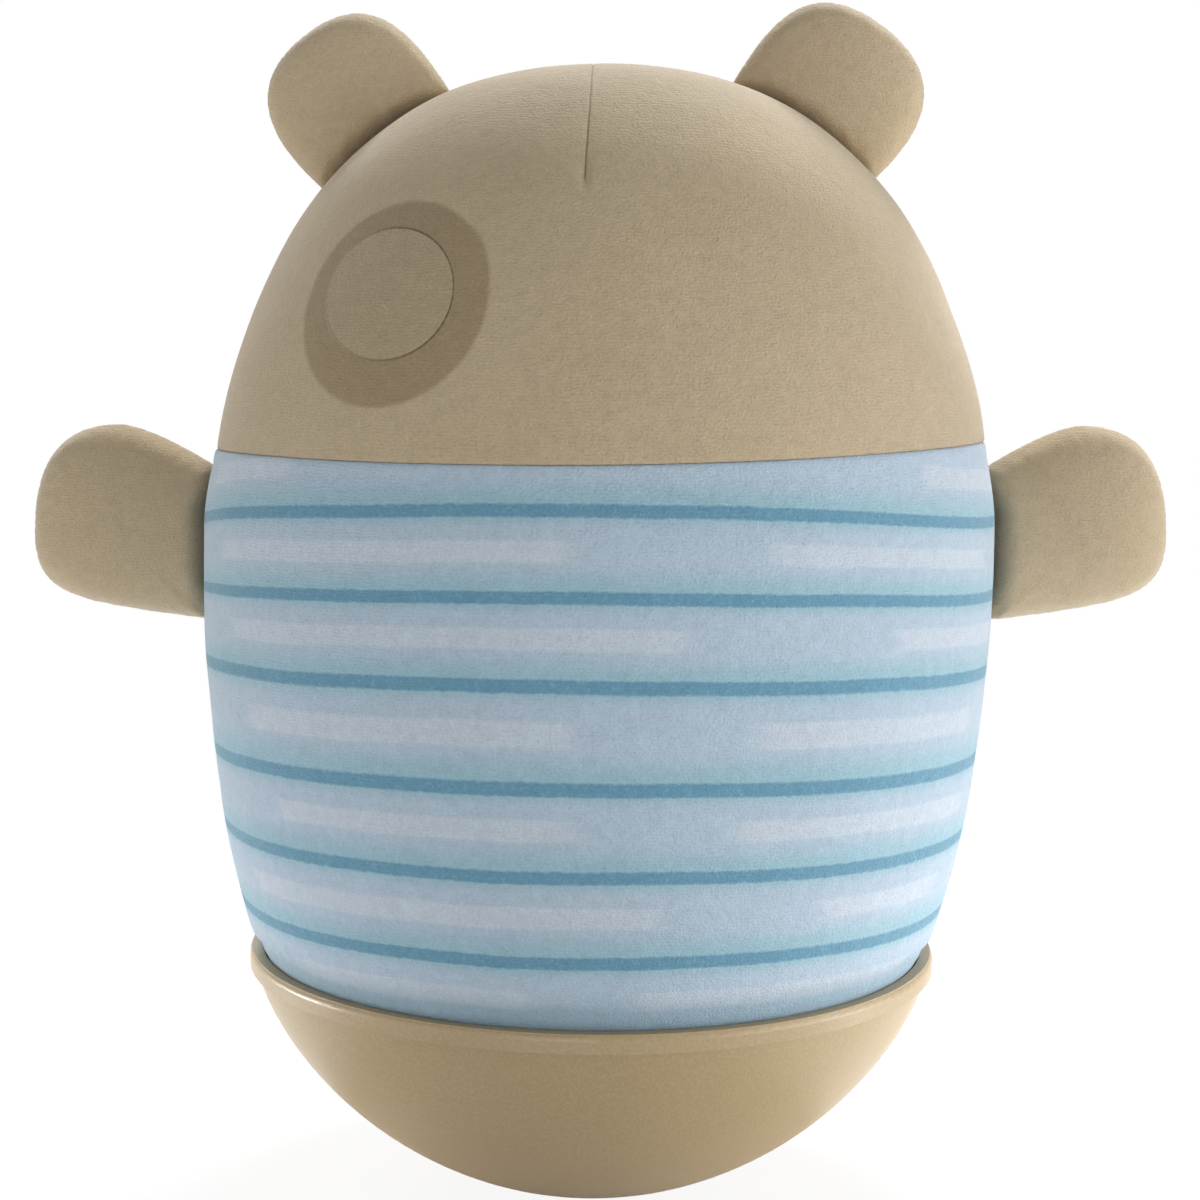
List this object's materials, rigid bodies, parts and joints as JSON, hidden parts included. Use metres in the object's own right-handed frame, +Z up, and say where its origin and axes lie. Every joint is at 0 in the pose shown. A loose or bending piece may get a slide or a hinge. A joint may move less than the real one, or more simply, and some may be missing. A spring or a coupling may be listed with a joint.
{
  "type": "roly poly toy",
  "caption": "Plush bear wobbler: a knit head and striped body with sewn arms and ears, seated in a weighted round plastic bowl that rocks, chimes and rights itself",
  "frame": {"origin": "middle of the small flat under the bowl, which the toy rests on", "axes": "+Z up through the crown, the bear faces -Y, +X to the right as the viewer sees it"},
  "size_m": [0.2024, 0.139, 0.2095],
  "materials": {
    "bowl_plastic": "matte",
    "inner_plastic": "satin",
    "bead_plastic": "gloss",
    "ballast_iron": "matte",
    "screw_steel": "satin",
    "chime_steel": "polished",
    "tan_knit": "matte",
    "striped_knit": "matte",
    "fibre_wadding": "matte"
  },
  "bodies": {
    "base": {"base_bowl": "bowl_plastic", "ballast_weight": "ballast_iron", "ballast_screws": "screw_steel", "base_deck": "inner_plastic", "deck_screws": "screw_steel", "chime_block": "inner_plastic", "chime_screws": "screw_steel", "chime_rod_1": "chime_steel", "chime_rod_2": "chime_steel", "chime_rod_3": "chime_steel", "chime_rod_4": "chime_steel", "striker_eye": "chime_steel", "body_front_panel": "striped_knit", "body_back_panel": "striped_knit", "body_wadding": "fibre_wadding", "head_front_panel": "tan_knit", "head_back_panel": "tan_knit", "head_wadding": "fibre_wadding", "eye_disc": "tan_knit"},
    "link": {"striker_link": "chime_steel"},
    "striker": {"striker_stem": "chime_steel", "striker_bead": "bead_plastic"},
    "arm_left": {"arm_left_front_panel": "tan_knit", "arm_left_back_panel": "tan_knit", "arm_left_stuffing": "fibre_wadding"},
    "arm_right": {"arm_right_front_panel": "tan_knit", "arm_right_back_panel": "tan_knit", "arm_right_stuffing": "fibre_wadding"},
    "ear_left": {"ear_left_front_panel": "tan_knit", "ear_left_back_panel": "tan_knit", "ear_left_stuffing": "fibre_wadding"},
    "ear_right": {"ear_right_front_panel": "tan_knit", "ear_right_back_panel": "tan_knit", "ear_right_stuffing": "fibre_wadding"}
  },
  "joints": [
    {"name": "arm_left_seam", "type": "hinge", "parent": "base", "child": "arm_left", "pos_m": [-0.0698, 0, 0.114], "axis": [0, 0, 1], "range_deg": [-30, 30], "stiffness_Nm_per_rad": 0.005},
    {"name": "arm_right_seam", "type": "hinge", "parent": "base", "child": "arm_right", "pos_m": [0.0698, 0, 0.114], "axis": [0, 0, 1], "range_deg": [-30, 30], "stiffness_Nm_per_rad": 0.005},
    {"name": "ear_left_seam", "type": "hinge", "parent": "base", "child": "ear_left", "pos_m": [-0.0367, 0, 0.18698], "axis": [-0.8143, 0, -0.5805], "range_deg": [-25, 25], "stiffness_Nm_per_rad": 0.005},
    {"name": "ear_right_seam", "type": "hinge", "parent": "base", "child": "ear_right", "pos_m": [0.0367, 0, 0.18698], "axis": [0.8143, 0, -0.5805], "range_deg": [-25, 25], "stiffness_Nm_per_rad": 0.005},
    {"name": "link_swing", "type": "hinge", "parent": "base", "child": "link", "pos_m": [0, 0, 0.0502], "axis": [1, 0, 0], "range_deg": [-12, 12]},
    {"name": "striker_swing", "type": "hinge", "parent": "link", "child": "striker", "pos_m": [0, 0, 0.0432], "axis": [0, 1, 0], "range_deg": [-19, 19]}
  ]
}
